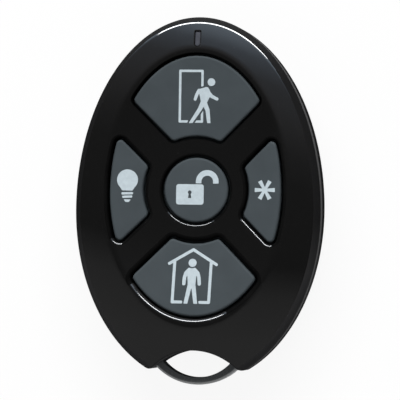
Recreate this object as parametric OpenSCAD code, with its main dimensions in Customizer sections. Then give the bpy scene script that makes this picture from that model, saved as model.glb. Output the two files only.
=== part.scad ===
// Alarm key fob: two-shell casing with five travelling keys, a key ring bail,
// a status light and the battery-powered transmitter board inside.
// Millimetres. The fob lies on its back: +Z up through the keys, +Y towards the
// status light. The origin is under the middle of the overall length.

/* [Casing] */
// Width of the casing at its widest line
casing_w = 41.5; // [40.2:0.1:46]
// Length from the widest line to the status light end
casing_top = 32.5; // [32:0.1:36.5]
// Length from the widest line to where the lower outline would close
casing_bottom = 28.8; // [28.6:0.1:33]
// Height of the parting line between the shells above the rear face
parting_z = 5.3; // [5:0.1:5.8]
// Thickness of the side walls of both shells
wall = 1.4; // [1.2:0.1:1.6]
// Thickness of the rear floor
floor_t = 1.4; // [1:0.1:1.7]
// Width of the flat that the fob rests on
rear_flat_w = 25; // [20:0.5:27]
// How far the rear dome stands outside the outline at the parting line
rear_flare = 0.5; // [0.3:0.1:1]
// Radius of the two lobes beside the key ring notch
lobe_r = 1.3; // [0.8:0.1:1.6]
// Height of the rear shell's locating lip
lip_h = 0.8; // [0.5:0.1:1.1]
// Thickness of the locating lip
lip_t = 0.7; // [0.5:0.1:0.8]
// Gap between the locating lip and the front shell
lip_gap = 0.1; // [0.05:0.05:0.2]

/* [Face] */
// Height of the crease around the keypad above the rear face
crease_z = 12.6; // [12.4:0.1:13.6]
// Width of the dished keypad area
crease_w = 30.4; // [30:0.1:33]
// Length of the dished keypad area
crease_l = 46; // [45.5:0.1:49]
// Distance of the dish's middle above the keypad's middle
crease_up = 0.35; // [0:0.05:0.6]
// How far the middle of the dish lies below the crease
dish_depth = 1.5; // [0.8:0.1:1.8]
// How far the face falls from the crease to the widest edge
rim_drop = 2.4; // [1.4:0.1:2.6]
// Roundness of the crown outside the crease
crown_bend = 0.56; // [0.4:0.02:0.62]
// Roundness of the dish inside the crease
dish_bend = 0.5; // [0.3:0.05:0.8]
// Depth from the crease to the underside of the face
panel_t = 3.2; // [3:0.1:3.4]

/* [Keys] */
// Distance of the keypad's middle above the widest line
keypad_up = 3.55; // [2.8:0.05:4]
// Diameter of the round middle key
middle_key_d = 10.8; // [9:0.1:12]
// Width of the oval that bounds the outer keys
field_w = 28.9; // [28:0.1:29.4]
// Reach of that oval above the keypad's middle
field_top = 22.4; // [21.5:0.1:22.6]
// Reach of that oval below the keypad's middle
field_bottom = 21.1; // [20:0.1:21.6]
// Distance of that oval's widest line below the keypad's middle
field_down = 0.45; // [0:0.05:0.6]
// Diameter of the round inner edge of the outer keys
ring_d = 17.9; // [17.2:0.1:19.5]
// Width of the face arms between the top key and the side keys
arm_w = 5.85; // [5.6:0.05:7]
// Width of the face arms between the side keys and the bottom key
lower_arm_w = 5.6; // [5.3:0.1:6.6]
// Distance of the point where the face arms would cross below the keypad's middle
arm_down = 0.15; // [0:0.05:0.3]
// Corner radius of the outer keys
key_corner_r = 0.7; // [0.5:0.1:1.2]
// Running gap around each key in the face
key_gap = 0.42; // [0.3:0.02:0.6]
// Depth of the key tops below the dish
key_recess = 0.2; // [0.1:0.05:0.5]
// Width of the retaining flange around each key
key_flange_w = 0.9; // [0.75:0.05:1]
// Thickness of the retaining flange
key_flange_t = 0.8; // [0.6:0.1:0.9]
// Gap between a resting flange and the underside of the face
flange_gap = 0.1; // [0.05:0.05:0.2]
// Travel of each key
key_travel = 0.5; // [0.3:0.05:0.55]
// Diameter of the nub under each key
nub_d = 3; // [2.2:0.1:4]

/* [Keypad mat] */
// Thickness of the mat
mat_t = 0.9; // [0.7:0.1:1]
// Gap between the mat and what moves or passes through it
mat_gap = 0.25; // [0.15:0.05:0.35]
// Width of the mat outside the outer keys
mat_rim = 0.8; // [0.6:0.1:1]

/* [Status light] */
// Distance of the status light from the keypad's middle
light_up = 25.2; // [24.9:0.1:25.6]
// Width of the light slot
light_w = 1; // [0.8:0.1:1.4]
// Length of the light slot
light_l = 2.7; // [2.2:0.1:2.8]
// Gap around the light pipe in its slot
light_gap = 0.05; // [0.03:0.01:0.1]
// Depth of the light pipe's end below the face
light_recess = 0.15; // [0.05:0.05:0.3]
// Width of the light pipe's flange on each side
light_flange_w = 0.6; // [0.4:0.1:0.8]
// Thickness of the light pipe's flange
light_flange_t = 0.6; // [0.4:0.1:0.8]
// Gap between the light pipe's flange and the flange of the key below it
light_clear = 0.3; // [0.2:0.05:0.4]
// Gap between the light pipe and the diode
light_air = 0.3; // [0.2:0.1:0.6]
// Length of the diode across the board
led_l = 1.6; // [1:0.1:2]
// Width of the diode
led_w = 0.8; // [0.5:0.1:1]
// Height of the diode
led_h = 0.6; // [0.4:0.1:0.8]
// Length of the diode's clear cap
led_cap_l = 1; // [0.6:0.1:1.4]
// Height of the diode's base
led_base_h = 0.3; // [0.2:0.05:0.4]

/* [Key ring bail] */
// Distance of the notch's top below the widest line
notch_reach = 23.2; // [23:0.05:23.6]
// Diameter of the notch
notch_d = 19.8; // [19:0.1:20.4]
// Distance of the bail's outer edge below the widest line
bail_reach = 29; // [28.7:0.1:29.7]
// Diameter of the bail's outer arc
bail_outer_d = 19.8; // [19.4:0.1:20.2]
// Diameter of the bail's inner arc
bail_inner_d = 15.2; // [14.8:0.1:15.6]
// Width of the bail at its middle
bail_w = 1.25; // [1:0.05:1.4]
// Height of the bail
bail_h = 2.6; // [2:0.1:3]
// Height of the bail's middle above the parting line
bail_rise = 0.6; // [0.3:0.1:0.8]
// Distance of the bail's feet below the widest line
foot_reach = 22.9; // [22.7:0.1:23.1]
// Diameter of the round feet that hold the bail in the casing
foot_d = 3; // [2.6:0.1:3.2]
// Gap between the bail and the shells
bail_gap = 0.1; // [0.05:0.05:0.15]

/* [Circuit board] */
// Thickness of the circuit board
board_t = 1; // [0.8:0.1:1.2]
// Gap between the board and the pieces beside it
board_gap = 0.4; // [0.2:0.1:0.6]
// Diameter of the posts that hold the board
post_d = 2; // [1.6:0.1:2.2]
// Distance of the posts from the keypad's middle
post_reach = 15.5; // [15:0.1:16]
// Gap between neighbouring parts on the board
chip_gap = 1.2; // [0.8:0.1:1.4]
// Side of the controller chip
controller_w = 5; // [4:0.1:5.4]
// Length of the radio chip's body
radio_l = 4.4; // [4:0.1:5]
// Width of the radio chip's body
radio_w = 3; // [2.6:0.1:3.4]
// Height of the chips
chip_h = 0.9; // [0.7:0.1:1.1]
// Diameter of the controller chip's corner mark
mark_d = 0.6; // [0.4:0.1:0.8]
// Depth of the controller chip's corner mark
mark_depth = 0.1; // [0.05:0.05:0.2]
// Number of leads on each side of the radio chip
lead_count = 4; // [3:1:6]
// Width of a lead
lead_w = 0.5; // [0.3:0.05:0.6]
// Length of a lead
lead_l = 0.75; // [0.5:0.05:0.8]
// Thickness of a lead
lead_t = 0.2; // [0.15:0.05:0.3]
// Length of the crystal
crystal_l = 5; // [4:0.1:6]
// Width of the crystal
crystal_w = 3.2; // [2.5:0.1:3.4]
// Height of the crystal
crystal_h = 1; // [0.8:0.1:1.2]
// Height and inset of the crystal's metal lid
crystal_lid = 0.3; // [0.2:0.05:0.4]
// Number of small chip parts in the row near the status light
chip_part_count = 6; // [3:1:6]
// Length of a small chip part
chip_part_l = 1.6; // [1:0.1:1.8]
// Width of a small chip part
chip_part_w = 0.8; // [0.5:0.1:1]
// Height of a small chip part
chip_part_h = 0.6; // [0.4:0.1:0.8]

/* [Key switches] */
// Side of a switch base
switch_w = 4.5; // [4.2:0.1:4.7]
// Height of a switch base
switch_h = 0.9; // [0.8:0.05:1]
// Thickness of a switch cover
cover_t = 0.2; // [0.15:0.05:0.25]
// Diameter of the well in a switch base
well_d = 3.4; // [3.2:0.1:3.6]
// Diameter of a switch plunger
plunger_d = 2; // [1.6:0.1:2.2]
// Diameter of the plunger's collar in the well
collar_d = 2.8; // [2.6:0.1:3]
// Thickness of the collar
collar_t = 0.25; // [0.2:0.05:0.3]
// Gap between the plunger and the cover's hole
plunger_gap = 0.12; // [0.08:0.02:0.2]
// Spare height above the cover when the key is fully pressed
nub_spare = 0.15; // [0.1:0.05:0.2]
// Spare depth under the collar when the key is fully pressed
well_spare = 0.05; // [0.02:0.01:0.1]

/* [Battery] */
// Diameter of the coin cell
cell_d = 20; // [19:0.1:20.4]
// Height of the coin cell
cell_h = 3.2; // [2.5:0.1:3.3]
// Diameter of the cell's raised negative face
cell_face_d = 17.6; // [16:0.1:18.4]
// Height of the cell's raised negative face
cell_face_h = 0.3; // [0.2:0.1:0.6]
// Gap between the cell and the clip's side arms
cell_gap = 0.1; // [0.05:0.05:0.2]
// Gap between the clip and the rear floor
clip_air = 0.3; // [0.2:0.05:0.4]
// Thickness of the clip's spring strip
clip_t = 0.25; // [0.2:0.05:0.3]
// Width of the clip's strap under the cell
strap_w = 6; // [4:0.5:8]
// Width of the clip's solder feet
clip_foot_w = 3; // [2:0.5:4]
// Angle that each side arm of the clip covers
arm_angle = 80; // [50:5:100]
// Length of the clip's solder feet
clip_foot_l = 1.6; // [1:0.1:2]
// Height of the negative contact
contact_h = 0.4; // [0.3:0.05:0.45]
// Thickness of the negative contact's solder plate
contact_t = 0.2; // [0.1:0.05:0.25]
// Diameter of the negative contact's solder plate
contact_d = 9; // [6:0.5:12]
// Diameter of the dimple that touches the cell
dimple_d = 3.6; // [2:0.2:5]

/* [Case screws] */
// Distance of each screw from the middle line
screw_x = 11; // [10.6:0.1:11.2]
// Distance of the screws below the keypad's middle
screw_down = 21; // [20.8:0.1:21.4]
// Thread diameter of the screws
screw_d = 2; // [1.8:0.1:2.2]
// Length of a screw below its head
screw_l = 5.4; // [4.6:0.1:5.6]
// Diameter of a screw head
head_d = 3.4; // [3:0.1:3.5]
// Height of a screw head
head_h = 1.2; // [1:0.1:1.4]
// Gap around a screw in the rear shell
screw_gap = 0.15; // [0.1:0.05:0.2]
// Gap around a screw's thread in its boss
thread_gap = 0.02; // [0.01:0.01:0.04]
// Thickness of the rear shell above a screw head
seat_t = 2.3; // [1.6:0.1:2.5]
// Diameter of the screw bosses
boss_d = 4.2; // [4:0.1:4.3]
// Length of the cross recess in a screw head
cross_l = 2; // [1.6:0.1:2.4]
// Width of the cross recess
cross_w = 0.5; // [0.4:0.1:0.7]
// Depth of the cross recess
cross_depth = 0.6; // [0.4:0.1:0.8]

/* [Hidden] */
$fn = 96;

// Steps round a full turn of the flat outlines and of their rounded corners
outline_fn = 72;
corner_fn = 24;
// Overlap used where one shape is cut by or joined to another
sink = 0.2;
// Length by which a cut runs past the face it starts from
past = 1;
// Half of a square large enough to hold the whole outline
reach = casing_w + casing_top + casing_bottom;

// Places along the length, with the origin under the middle of the overall length
widest_y = (bail_reach - casing_top) / 2;
keypad_y = widest_y + keypad_up;
light_y = keypad_y + light_up;
light_flange_y = keypad_y + field_top + key_flange_w + light_clear;
notch_y = widest_y - notch_reach - notch_d / 2;
bail_outer_y = widest_y - bail_reach + bail_outer_d / 2;
bail_inner_y = widest_y - bail_reach + bail_w + bail_inner_d / 2;
foot_y = widest_y - foot_reach;
screw_y = keypad_y - screw_down;
middle_y = widest_y + (casing_top - casing_bottom) / 2;

// Keypad crown and dish, both true ellipsoids that meet at the crease
crease_y = keypad_y + crease_up;
widest_share = casing_w / crease_w;
crown_c = rim_drop / (sqrt(1 - crown_bend ^ 2) - sqrt(1 - (crown_bend * widest_share) ^ 2));
crown_z = crease_z - crown_c * sqrt(1 - crown_bend ^ 2);
dish_c = dish_depth / (1 - sqrt(1 - dish_bend ^ 2));
dish_z = crease_z + dish_c * sqrt(1 - dish_bend ^ 2);
panel_z = crease_z - panel_t;

// Rear dome that leaves a flat of the chosen width
rear_a = casing_w / 2 + rear_flare;
rear_b = (casing_top + casing_bottom) / 2 + rear_flare;
rear_c = parting_z / sqrt(1 - (rear_flat_w / 2 / rear_a) ^ 2);

// Heights of the battery, board and switches, stacked from the rear floor
strap_z = floor_t + clip_air;
cell_z = strap_z + clip_t;
contact_z = cell_z + cell_h;
board_z = contact_z + contact_h;
board_top_z = board_z + board_t;
cover_z = board_top_z + switch_h;
collar_z = cover_z - collar_t;
well_z = collar_z - key_travel - well_spare;
plunger_top_z = cover_z + cover_t + key_travel + nub_spare;
flange_z = panel_z - flange_gap - key_flange_t;

// Bail heights
bail_z = parting_z + bail_rise - bail_h / 2;
foot_x = (sqrt((bail_outer_d / 2) ^ 2 - (foot_y - bail_outer_y) ^ 2)
    + sqrt((bail_inner_d / 2) ^ 2 - (foot_y - bail_inner_y) ^ 2)) / 2;

// Board outline and the parts on its underside
board_inset = wall + lip_gap + lip_t + board_gap;
board_low_y = screw_y + boss_d / 2 + board_gap;
led_y = light_y - light_l / 2 + led_w;
pipe_low_z = board_top_z + led_h + light_air;
clip_r = cell_d / 2 + cell_gap;
chip_y = keypad_y + clip_r + clip_t + chip_gap + controller_w / 2;
chip_x = (controller_w + chip_gap) / 2;
crystal_y = chip_y + controller_w / 2 + chip_gap + crystal_w / 2;
chip_part_y = crystal_y + crystal_w / 2 + chip_gap + chip_part_l / 2;

// Screws
seat_z = parting_z - seat_t;
screw_end_z = seat_z + screw_l;

// Key places: turn of the wedge, and the switch under each key
AWAY = 0;
LIGHTS = 1;
DISARM = 2;
AUXILIARY = 3;
STAY = 4;
KEYS = [AWAY, LIGHTS, DISARM, AUXILIARY, STAY];
wedge_turn = [0, 90, undef, 270, 180];
switch_top_y = (ring_d / 2 + field_top) / 2;
switch_low_y = (ring_d / 2 + field_bottom) / 2;
switch_side_x = (ring_d + field_w) / 4;
switch_at = [
    [0, keypad_y + switch_top_y],
    [-switch_side_x, keypad_y],
    [0, keypad_y],
    [switch_side_x, keypad_y],
    [0, keypad_y - switch_low_y]
];

// Colours
shell_black = [0.09, 0.09, 0.1];
rear_black = [0.13, 0.13, 0.14];
key_grey = [0.29, 0.32, 0.34];
bail_grey = [0.24, 0.25, 0.26];
pipe_smoke = [0.36, 0.38, 0.42];
mat_grey = [0.2, 0.22, 0.24];
board_green = [0.08, 0.32, 0.16];
steel = [0.72, 0.73, 0.75];
chip_black = [0.12, 0.12, 0.13];
plunger_cream = [0.9, 0.88, 0.82];
ceramic = [0.75, 0.68, 0.55];
gold = [0.83, 0.68, 0.35];

// Point on the casing's oval at angle t, with separate upper and lower lengths
function oval_b(t) = sin(t) > 0 ? casing_top : casing_bottom;
function oval_at(t) = [casing_w / 2 * cos(t), widest_y + oval_b(t) * sin(t)];
function oval_normal(t) =
    let (n = [oval_b(t) * cos(t), casing_w / 2 * sin(t)]) n / norm(n);

// The lobe's round touches the oval from inside and the notch from outside
function lobe_centre(t) = oval_at(t) - lobe_r * oval_normal(t);
function lobe_miss(t) = norm(lobe_centre(t) - [0, notch_y]) - notch_d / 2 - lobe_r;
function lobe_angle(low, high, steps) =
    let (mid = (low + high) / 2)
    steps == 0 ? mid
    : lobe_miss(mid) > 0 ? lobe_angle(low, mid, steps - 1)
    : lobe_angle(mid, high, steps - 1);

lobe_t = lobe_angle(-89, -5, 40);
lobe_c = lobe_centre(lobe_t);
lobe_to_notch = atan2(lobe_c.y - notch_y, lobe_c.x);
lobe_to_oval = atan2(oval_normal(lobe_t).y, oval_normal(lobe_t).x);

function arc(centre, r, from, to, steps) = [
    for (i = [0 : steps]) let (a = from + (to - from) * i / steps) centre + r * [cos(a), sin(a)]
];

// Right half of the outline, from the middle of the notch round to the top
notch_steps = 10;
lobe_steps = 8;
oval_steps = 36;
right_half = concat(
    arc([0, notch_y], notch_d / 2, 90, lobe_to_notch, notch_steps),
    arc(lobe_c, lobe_r, lobe_to_notch - 180, lobe_to_oval, lobe_steps),
    [for (i = [1 : oval_steps]) oval_at(lobe_t + (90 - lobe_t) * i / oval_steps)]
);
left_half = [
    for (i = [len(right_half) - 2 : -1 : 1]) [-right_half[i].x, right_half[i].y]
];

module casing_outline() {
    polygon(concat(right_half, left_half));
}

module cavity_outline() {
    offset(delta = -wall) casing_outline();
}

// Oval with separate upper and lower reach
module oval(w, top, bottom) {
    $fn = outline_fn;
    intersection() {
        scale([w / 2, top]) circle(1);
        translate([-w, 0]) square([2 * w, top + past]);
    }
    intersection() {
        scale([w / 2, bottom]) circle(1);
        translate([-w, -bottom - past]) square([2 * w, bottom + past]);
    }
}

// Oval that bounds the outer keys, grown on all sides
module field_oval(grow) {
    translate([0, -field_down])
        oval(field_w + 2 * grow, field_top + field_down + grow, field_bottom - field_down + grow);
}

module rounded(r) {
    offset(r = r, $fn = corner_fn) offset(delta = -r) children();
}

// Crown and dish ellipsoids
module crown() {
    translate([0, crease_y, crown_z])
        scale([crease_w / 2 / crown_bend, crease_l / 2 / crown_bend, crown_c]) sphere(1);
}

module dish() {
    translate([0, crease_y, dish_z])
        scale([crease_w / 2 / dish_bend, crease_l / 2 / dish_bend, dish_c]) sphere(1);
}

module rear_dome(inset) {
    translate([0, middle_y, parting_z])
        scale([rear_a - inset, rear_b - inset, rear_c - inset]) sphere(1);
}

// Flat shape of one key, grown on all sides
module key_shape(key, grow) {
    translate([0, keypad_y]) {
        if (key == DISARM) circle(d = middle_key_d + 2 * grow);
        else if (grow > 0) offset(r = grow, $fn = corner_fn) outer_key(wedge_turn[key]);
        else outer_key(wedge_turn[key]);
    }
}

module outer_key(turn) {
    rounded(key_corner_r) intersection() {
        difference() {
            field_oval(0);
            circle(d = ring_d, $fn = outline_fn);
            for (side = [-1, 1]) translate([0, -arm_down]) {
                rotate(side * 45) translate([-arm_w / 2, 0]) square([arm_w, reach]);
                rotate(side * 135) translate([-lower_arm_w / 2, 0]) square([lower_arm_w, reach]);
            }
        }
        rotate(turn) polygon([[0, 0], [reach, reach], [-reach, reach]]);
    }
}

// Slot for the status light, round at its lower end
module light_shape(grow) {
    low = -light_l / 2 + light_w / 2;
    translate([0, light_y]) {
        translate([-light_w / 2 - grow, low]) square([light_w + 2 * grow, light_l / 2 - low + grow]);
        translate([0, low]) circle(d = light_w + 2 * grow);
    }
}

module light_flange_shape(grow) {
    side_x = light_w / 2 + light_flange_w + grow;
    low_y = light_flange_y - grow;
    translate([-side_x, low_y]) square([2 * side_x, light_y + light_l / 2 + grow - low_y]);
}

module bail_shape() {
    intersection() {
        difference() {
            translate([0, bail_outer_y]) circle(d = bail_outer_d);
            translate([0, bail_inner_y]) circle(d = bail_inner_d);
        }
        translate([-reach, foot_y - 2 * reach]) square(2 * reach);
    }
    for (side = [-1, 1]) translate([side * foot_x, foot_y]) circle(d = foot_d);
}

// Space that the bail needs in both shells
module bail_seat() {
    translate([0, 0, bail_z - bail_gap])
        linear_extrude(bail_h + 2 * bail_gap) offset(delta = bail_gap, $fn = outline_fn) bail_shape();
}

module at_posts() {
    for (turn = [45 : 90 : 315])
        translate([post_reach * cos(turn), keypad_y + post_reach * sin(turn)]) children();
}

module at_screws() {
    for (side = [-1, 1]) translate([side * screw_x, screw_y]) children();
}

module front_shell() {
    color(shell_black) difference() {
        union() {
            difference() {
                intersection() {
                    translate([0, 0, parting_z]) linear_extrude(crease_z) casing_outline();
                    crown();
                }
                dish();
                translate([0, 0, parting_z - past])
                    linear_extrude(panel_z - parting_z + past) cavity_outline();
            }
            at_posts() translate([0, 0, board_top_z])
                cylinder(d = post_d, h = panel_z - board_top_z + sink);
            at_screws() translate([0, 0, parting_z])
                cylinder(d = boss_d, h = panel_z - parting_z + sink);
        }
        for (key = KEYS) translate([0, 0, panel_z - past])
            linear_extrude(crease_z) key_shape(key, key_gap);
        translate([0, 0, pipe_low_z - past]) linear_extrude(crease_z) light_shape(0);
        at_screws() translate([0, 0, parting_z - past])
            cylinder(r = screw_d / 2 + thread_gap, h = screw_end_z - parting_z + past + sink);
        bail_seat();
    }
}

module rear_shell() {
    color(rear_black) difference() {
        union() {
            difference() {
                intersection() {
                    linear_extrude(parting_z) casing_outline();
                    rear_dome(0);
                }
                intersection() {
                    translate([0, 0, floor_t]) linear_extrude(crease_z) cavity_outline();
                    rear_dome(wall);
                }
            }
            locating_lip();
            intersection() {
                rear_posts();
                rear_dome(wall / 2);
            }
        }
        at_screws() {
            translate([0, 0, -past]) cylinder(d = head_d + 2 * screw_gap, h = seat_z + past);
            cylinder(d = screw_d + 2 * screw_gap, h = parting_z + past);
        }
        bail_seat();
    }
}

module rear_posts() {
    at_posts() cylinder(d = post_d, h = board_z);
    at_screws() cylinder(d = boss_d, h = parting_z);
}

// Lip inside the front shell's wall, on a ledge of the rear shell's wall
module locating_lip() {
    translate([0, 0, parting_z - lip_h]) linear_extrude(lip_h) lip_ring(wall - sink);
    translate([0, 0, parting_z - lip_h]) linear_extrude(2 * lip_h) lip_ring(wall + lip_gap);
}

module lip_ring(inset) {
    difference() {
        offset(delta = -inset) casing_outline();
        offset(delta = -wall - lip_gap - lip_t) casing_outline();
    }
}

module key_ring_bail() {
    color(bail_grey) translate([0, 0, bail_z]) linear_extrude(bail_h) bail_shape();
}

module status_light_pipe() {
    color(pipe_smoke) {
        intersection() {
            translate([0, 0, pipe_low_z]) linear_extrude(crease_z) light_shape(-light_gap);
            translate([0, 0, -light_recess]) crown();
        }
        translate([0, 0, panel_z - light_flange_t]) linear_extrude(light_flange_t)
            intersection() {
                light_flange_shape(0);
                offset(delta = -wall - lip_gap) casing_outline();
            }
    }
}

module keypad_mat() {
    rim = key_flange_w + mat_gap + mat_rim;
    color(mat_grey) translate([0, 0, panel_z - mat_t]) linear_extrude(mat_t) difference() {
        translate([0, keypad_y]) field_oval(rim);
        for (key = KEYS) key_shape(key, key_flange_w + mat_gap);
        at_posts() circle(d = post_d + 2 * mat_gap);
        light_flange_shape(mat_gap);
    }
}

// One key with its retaining flange and the nub that presses the switch
module key_body(key) {
    color(key_grey) difference() {
        union() {
            translate([0, 0, flange_z]) linear_extrude(crease_z - flange_z) key_shape(key, 0);
            translate([0, 0, flange_z]) linear_extrude(key_flange_t) key_shape(key, key_flange_w);
            translate([switch_at[key].x, switch_at[key].y, plunger_top_z])
                cylinder(d = nub_d, h = flange_z - plunger_top_z + sink);
        }
        translate([0, 0, -key_recess]) dish();
    }
}

module away_key() { key_body(AWAY); }
module lights_key() { key_body(LIGHTS); }
module disarm_key() { key_body(DISARM); }
module auxiliary_key() { key_body(AUXILIARY); }
module stay_key() { key_body(STAY); }

// Switch plunger with the collar that keeps it under the cover
module plunger(key) {
    color(plunger_cream) translate([switch_at[key].x, switch_at[key].y, 0]) {
        translate([0, 0, collar_z]) cylinder(d = plunger_d, h = plunger_top_z - collar_z);
        translate([0, 0, collar_z]) cylinder(d = collar_d, h = collar_t);
    }
}

module away_plunger() { plunger(AWAY); }
module lights_plunger() { plunger(LIGHTS); }
module disarm_plunger() { plunger(DISARM); }
module auxiliary_plunger() { plunger(AUXILIARY); }
module stay_plunger() { plunger(STAY); }

module switch_bases() {
    color(chip_black) for (key = KEYS) translate([switch_at[key].x, switch_at[key].y, 0]) {
        difference() {
            translate([-switch_w / 2, -switch_w / 2, board_top_z]) cube([switch_w, switch_w, switch_h]);
            translate([0, 0, well_z]) cylinder(d = well_d, h = switch_h);
        }
    }
}

module switch_covers() {
    color(steel) for (key = KEYS) translate([switch_at[key].x, switch_at[key].y, cover_z]) {
        difference() {
            translate([-switch_w / 2, -switch_w / 2, 0]) cube([switch_w, switch_w, cover_t]);
            translate([0, 0, -past]) cylinder(r = plunger_d / 2 + plunger_gap, h = cover_t + 2 * past);
        }
    }
}

module circuit_board() {
    color(board_green) translate([0, 0, board_z]) linear_extrude(board_t) intersection() {
        offset(delta = -board_inset) casing_outline();
        translate([-reach, board_low_y]) square(2 * reach);
    }
}

module status_led() {
    color(plunger_cream) translate([0, led_y, board_top_z]) {
        translate([-led_l / 2, -led_w / 2, 0]) cube([led_l, led_w, led_base_h]);
        translate([-led_cap_l / 2, -led_w / 2, 0]) cube([led_cap_l, led_w, led_h]);
    }
}

module controller_chip() {
    mark_at = controller_w / 2 - 1.5 * mark_d;
    color(chip_black) translate([-chip_x, chip_y, board_z - chip_h]) difference() {
        translate([-controller_w / 2, -controller_w / 2, 0]) cube([controller_w, controller_w, chip_h]);
        translate([-mark_at, mark_at, -past]) cylinder(d = mark_d, h = past + mark_depth);
    }
}

// Radio chip with two rows of leads that reach the board
module radio_chip() {
    lead_step = radio_l / lead_count;
    lead_x = (radio_w + lead_l - sink) / 2;
    color(chip_black) translate([chip_x, chip_y, board_z - chip_h]) {
        translate([-radio_w / 2, -radio_l / 2, 0]) cube([radio_w, radio_l, chip_h]);
        for (side = [-1, 1], i = [0 : lead_count - 1])
            translate([side * lead_x, (i - (lead_count - 1) / 2) * lead_step, chip_h - lead_t / 2])
                cube([lead_l + sink, lead_w, lead_t], center = true);
    }
}

module crystal() {
    lid_l = crystal_l - 2 * crystal_lid;
    lid_w = crystal_w - 2 * crystal_lid;
    color(steel) translate([0, crystal_y, board_z]) {
        translate([-crystal_l / 2, -crystal_w / 2, -crystal_h + crystal_lid])
            cube([crystal_l, crystal_w, crystal_h - crystal_lid]);
        translate([-lid_l / 2, -lid_w / 2, -crystal_h]) cube([lid_l, lid_w, crystal_lid + sink]);
    }
}

module chip_parts() {
    color(ceramic) for (i = [0 : chip_part_count - 1])
        translate([(i - (chip_part_count - 1) / 2) * (chip_part_w + chip_gap), chip_part_y, board_z])
            translate([-chip_part_w / 2, -chip_part_l / 2, -chip_part_h])
                cube([chip_part_w, chip_part_l, chip_part_h]);
}

module coin_cell() {
    color(steel) translate([0, keypad_y, cell_z]) {
        cylinder(d = cell_d, h = cell_h - cell_face_h);
        cylinder(d = cell_face_d, h = cell_h);
    }
}

// Strap under the cell with two curved arms and solder feet
module battery_clip() {
    arm_h = board_z - strap_z;
    color(steel) translate([0, keypad_y, strap_z]) {
        translate([-clip_r - clip_t / 2, -strap_w / 2, 0]) cube([2 * clip_r + clip_t, strap_w, clip_t]);
        for (side = [0, 180]) rotate(side) {
            rotate(-arm_angle / 2) rotate_extrude(angle = arm_angle)
                translate([clip_r, 0]) square([clip_t, arm_h]);
            translate([clip_r + clip_t / 2, -clip_foot_w / 2, arm_h - clip_t])
                cube([clip_foot_l, clip_foot_w, clip_t]);
        }
    }
}

module negative_contact() {
    color(gold) translate([0, keypad_y, contact_z]) {
        cylinder(d = dimple_d, h = contact_h);
        translate([0, 0, contact_h - contact_t]) cylinder(d = contact_d, h = contact_t);
    }
}

module case_screws() {
    color(steel) at_screws() translate([0, 0, seat_z]) difference() {
        union() {
            translate([0, 0, -head_h]) cylinder(d = head_d, h = head_h);
            cylinder(d = screw_d, h = screw_l);
        }
        for (turn = [0, 90]) rotate(turn)
            translate([0, 0, -head_h]) cube([cross_l, cross_w, 2 * cross_depth], center = true);
    }
}

front_shell();
rear_shell();
key_ring_bail();
status_light_pipe();
keypad_mat();
away_key();
lights_key();
disarm_key();
auxiliary_key();
stay_key();
away_plunger();
lights_plunger();
disarm_plunger();
auxiliary_plunger();
stay_plunger();
switch_bases();
switch_covers();
circuit_board();
status_led();
controller_chip();
radio_chip();
crystal();
chip_parts();
coin_cell();
battery_clip();
negative_contact();
case_screws();
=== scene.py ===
# Alarm key fob: moulded skins, printed signs, finishes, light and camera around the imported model.
# The shapes are worked out in millimetres and written to the meshes in metres.
import math

import bmesh
import bpy
import numpy as np
from mathutils import Matrix, Vector
from mathutils.geometry import delaunay_2d_cdt


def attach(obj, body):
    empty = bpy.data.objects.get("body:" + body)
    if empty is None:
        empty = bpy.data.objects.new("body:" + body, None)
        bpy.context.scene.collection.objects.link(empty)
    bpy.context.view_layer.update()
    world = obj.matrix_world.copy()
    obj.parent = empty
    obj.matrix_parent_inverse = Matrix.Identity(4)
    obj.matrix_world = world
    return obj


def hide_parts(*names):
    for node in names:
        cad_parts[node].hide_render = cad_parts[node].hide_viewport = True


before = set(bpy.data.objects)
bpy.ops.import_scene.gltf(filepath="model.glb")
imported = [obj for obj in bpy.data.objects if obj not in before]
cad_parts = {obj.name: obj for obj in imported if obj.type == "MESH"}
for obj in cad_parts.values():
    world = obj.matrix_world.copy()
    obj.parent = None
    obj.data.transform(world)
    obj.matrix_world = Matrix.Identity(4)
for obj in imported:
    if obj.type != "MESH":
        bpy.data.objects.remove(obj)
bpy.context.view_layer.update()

MM = 0.001

# Casing sizes, as in the part's own drawing
casing_w = 41.5
casing_top = 32.5
casing_bottom = 28.8
widest_y = -1.75
middle_y = widest_y + (casing_top - casing_bottom) / 2
parting_z = 5.3
wall = 1.4
floor_t = 1.4
rear_flat_w = 25.0
rear_flare = 0.5
rear_soft = 0.2
lobe_r = 1.3
least_lobe_r = 0.05
lip_h = 0.8
lip_t = 0.7
lip_gap = 0.1
notch_d = 19.8
notch_reach = 23.2
notch_y = widest_y - notch_reach - notch_d / 2

# Face sizes
crease_z = 12.6
crease_w = 30.4
crease_l = 46.0
crease_y = 2.15
crease_soft = 0.24
dish_depth = 1.5
rim_drop = 2.4
crown_bend = 0.56
dish_bend = 0.5
panel_depth = 3.2
panel_z = crease_z - panel_depth

# Key sizes
keypad_y = 1.8
middle_key_d = 10.8
field_w = 28.9
field_top = 22.4
field_bottom = 21.1
field_down = 0.45
ring_d = 17.9
arm_w = 5.85
lower_arm_w = 5.6
arm_down = 0.15
key_corner_r = 0.7
key_gap = 0.42
key_recess = 0.2
key_flange_w = 0.9
key_flange_t = 0.8
flange_gap = 0.1
nub_d = 3.0
nub_z = 8.3
key_swell = 0.15
flange_z = panel_z - flange_gap - key_flange_t
print_rise = 0.02
print_sunk = 0.04

# Status light slot
light_y = 27.0
light_w = 1.0
light_l = 2.7
slot_corner_r = 0.06
lens_gap = 0.03
lens_corner_r = 0.26
lens_recess = 0.3
lens_round = 0.15
pipe_flange_w = 0.6
pipe_flange_t = 0.6
pipe_flange_y = 25.4
pipe_low_z = 7.45

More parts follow.
